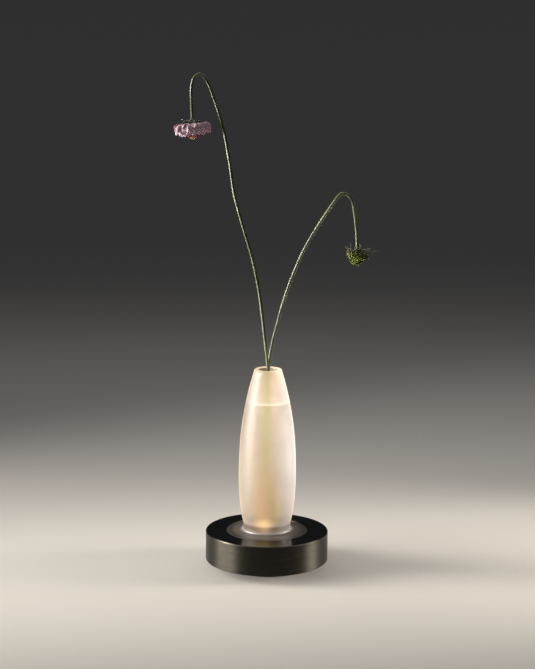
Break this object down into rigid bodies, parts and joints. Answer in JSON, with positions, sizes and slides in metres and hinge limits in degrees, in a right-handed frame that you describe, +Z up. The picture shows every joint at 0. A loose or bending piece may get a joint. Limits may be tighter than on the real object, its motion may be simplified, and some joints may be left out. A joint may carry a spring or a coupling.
{
  "type": "ikebana arrangement",
  "caption": "Ikebana arrangement: nodding scabious stems with a pink bloom and a green seed head in a frosted glass bud vase, on a dark round metal base that lights it from below.",
  "frame": {"origin": "centre of the foot pad's underside, on the surface that the object stands on", "axes": "+Z up; -Y to the front, as pictured; +X to the right, the side of the green seed head"},
  "size_m": [0.2138, 0.13, 0.5207],
  "materials": {
    "foot_rubber": "matt black moulded rubber",
    "base_plate_steel": "dark satin powder coat on turned steel",
    "screw_steel": "blackened steel",
    "drum_metal": "dark bronze-grey anodised, side brushed round, top turned smooth",
    "carrier_aluminium": "plain milled",
    "led_board": "white solder mask with warm light diodes",
    "battery_wrap": "grey shrink wrap",
    "charge_board": "green solder mask",
    "socket_steel": "bright stamped steel",
    "frosted_disc": "satin translucent acrylic, turned, with a low collar",
    "frosted_glass": "acid-etched translucent white, fine-grained, lit from below",
    "vase_water": "clear water, seen as a brighter band through the glass",
    "pink_stem_green": "smooth waxy green, finely ribbed",
    "pink_petals": "pale lilac-pink ruffled petals, veined",
    "crimson_florets": "deep crimson buds",
    "cream_pins": "cream pin heads",
    "seed_stem_green": "smooth waxy grey-green, finely ribbed",
    "seed_head_green": "yellow-green buds with a pale fuzz"
  },
  "bodies": {
    "root": {"rubber_foot_pad": "foot_rubber", "base_plate": "base_plate_steel", "base_screw_1": "screw_steel", "base_screw_2": "screw_steel", "base_screw_3": "screw_steel", "base_drum": "drum_metal", "led_carrier": "carrier_aluminium", "led_board": "led_board", "battery_pack": "battery_wrap", "charge_board": "charge_board", "charge_socket": "socket_steel", "light_disc": "frosted_disc", "vase": "frosted_glass", "water": "vase_water", "pink_flower_stem": "pink_stem_green", "pink_flower_petals": "pink_petals", "pink_flower_florets": "crimson_florets", "pink_flower_pins": "cream_pins", "seed_head_stem": "seed_stem_green", "seed_head": "seed_head_green"}
  },
  "joints": []
}
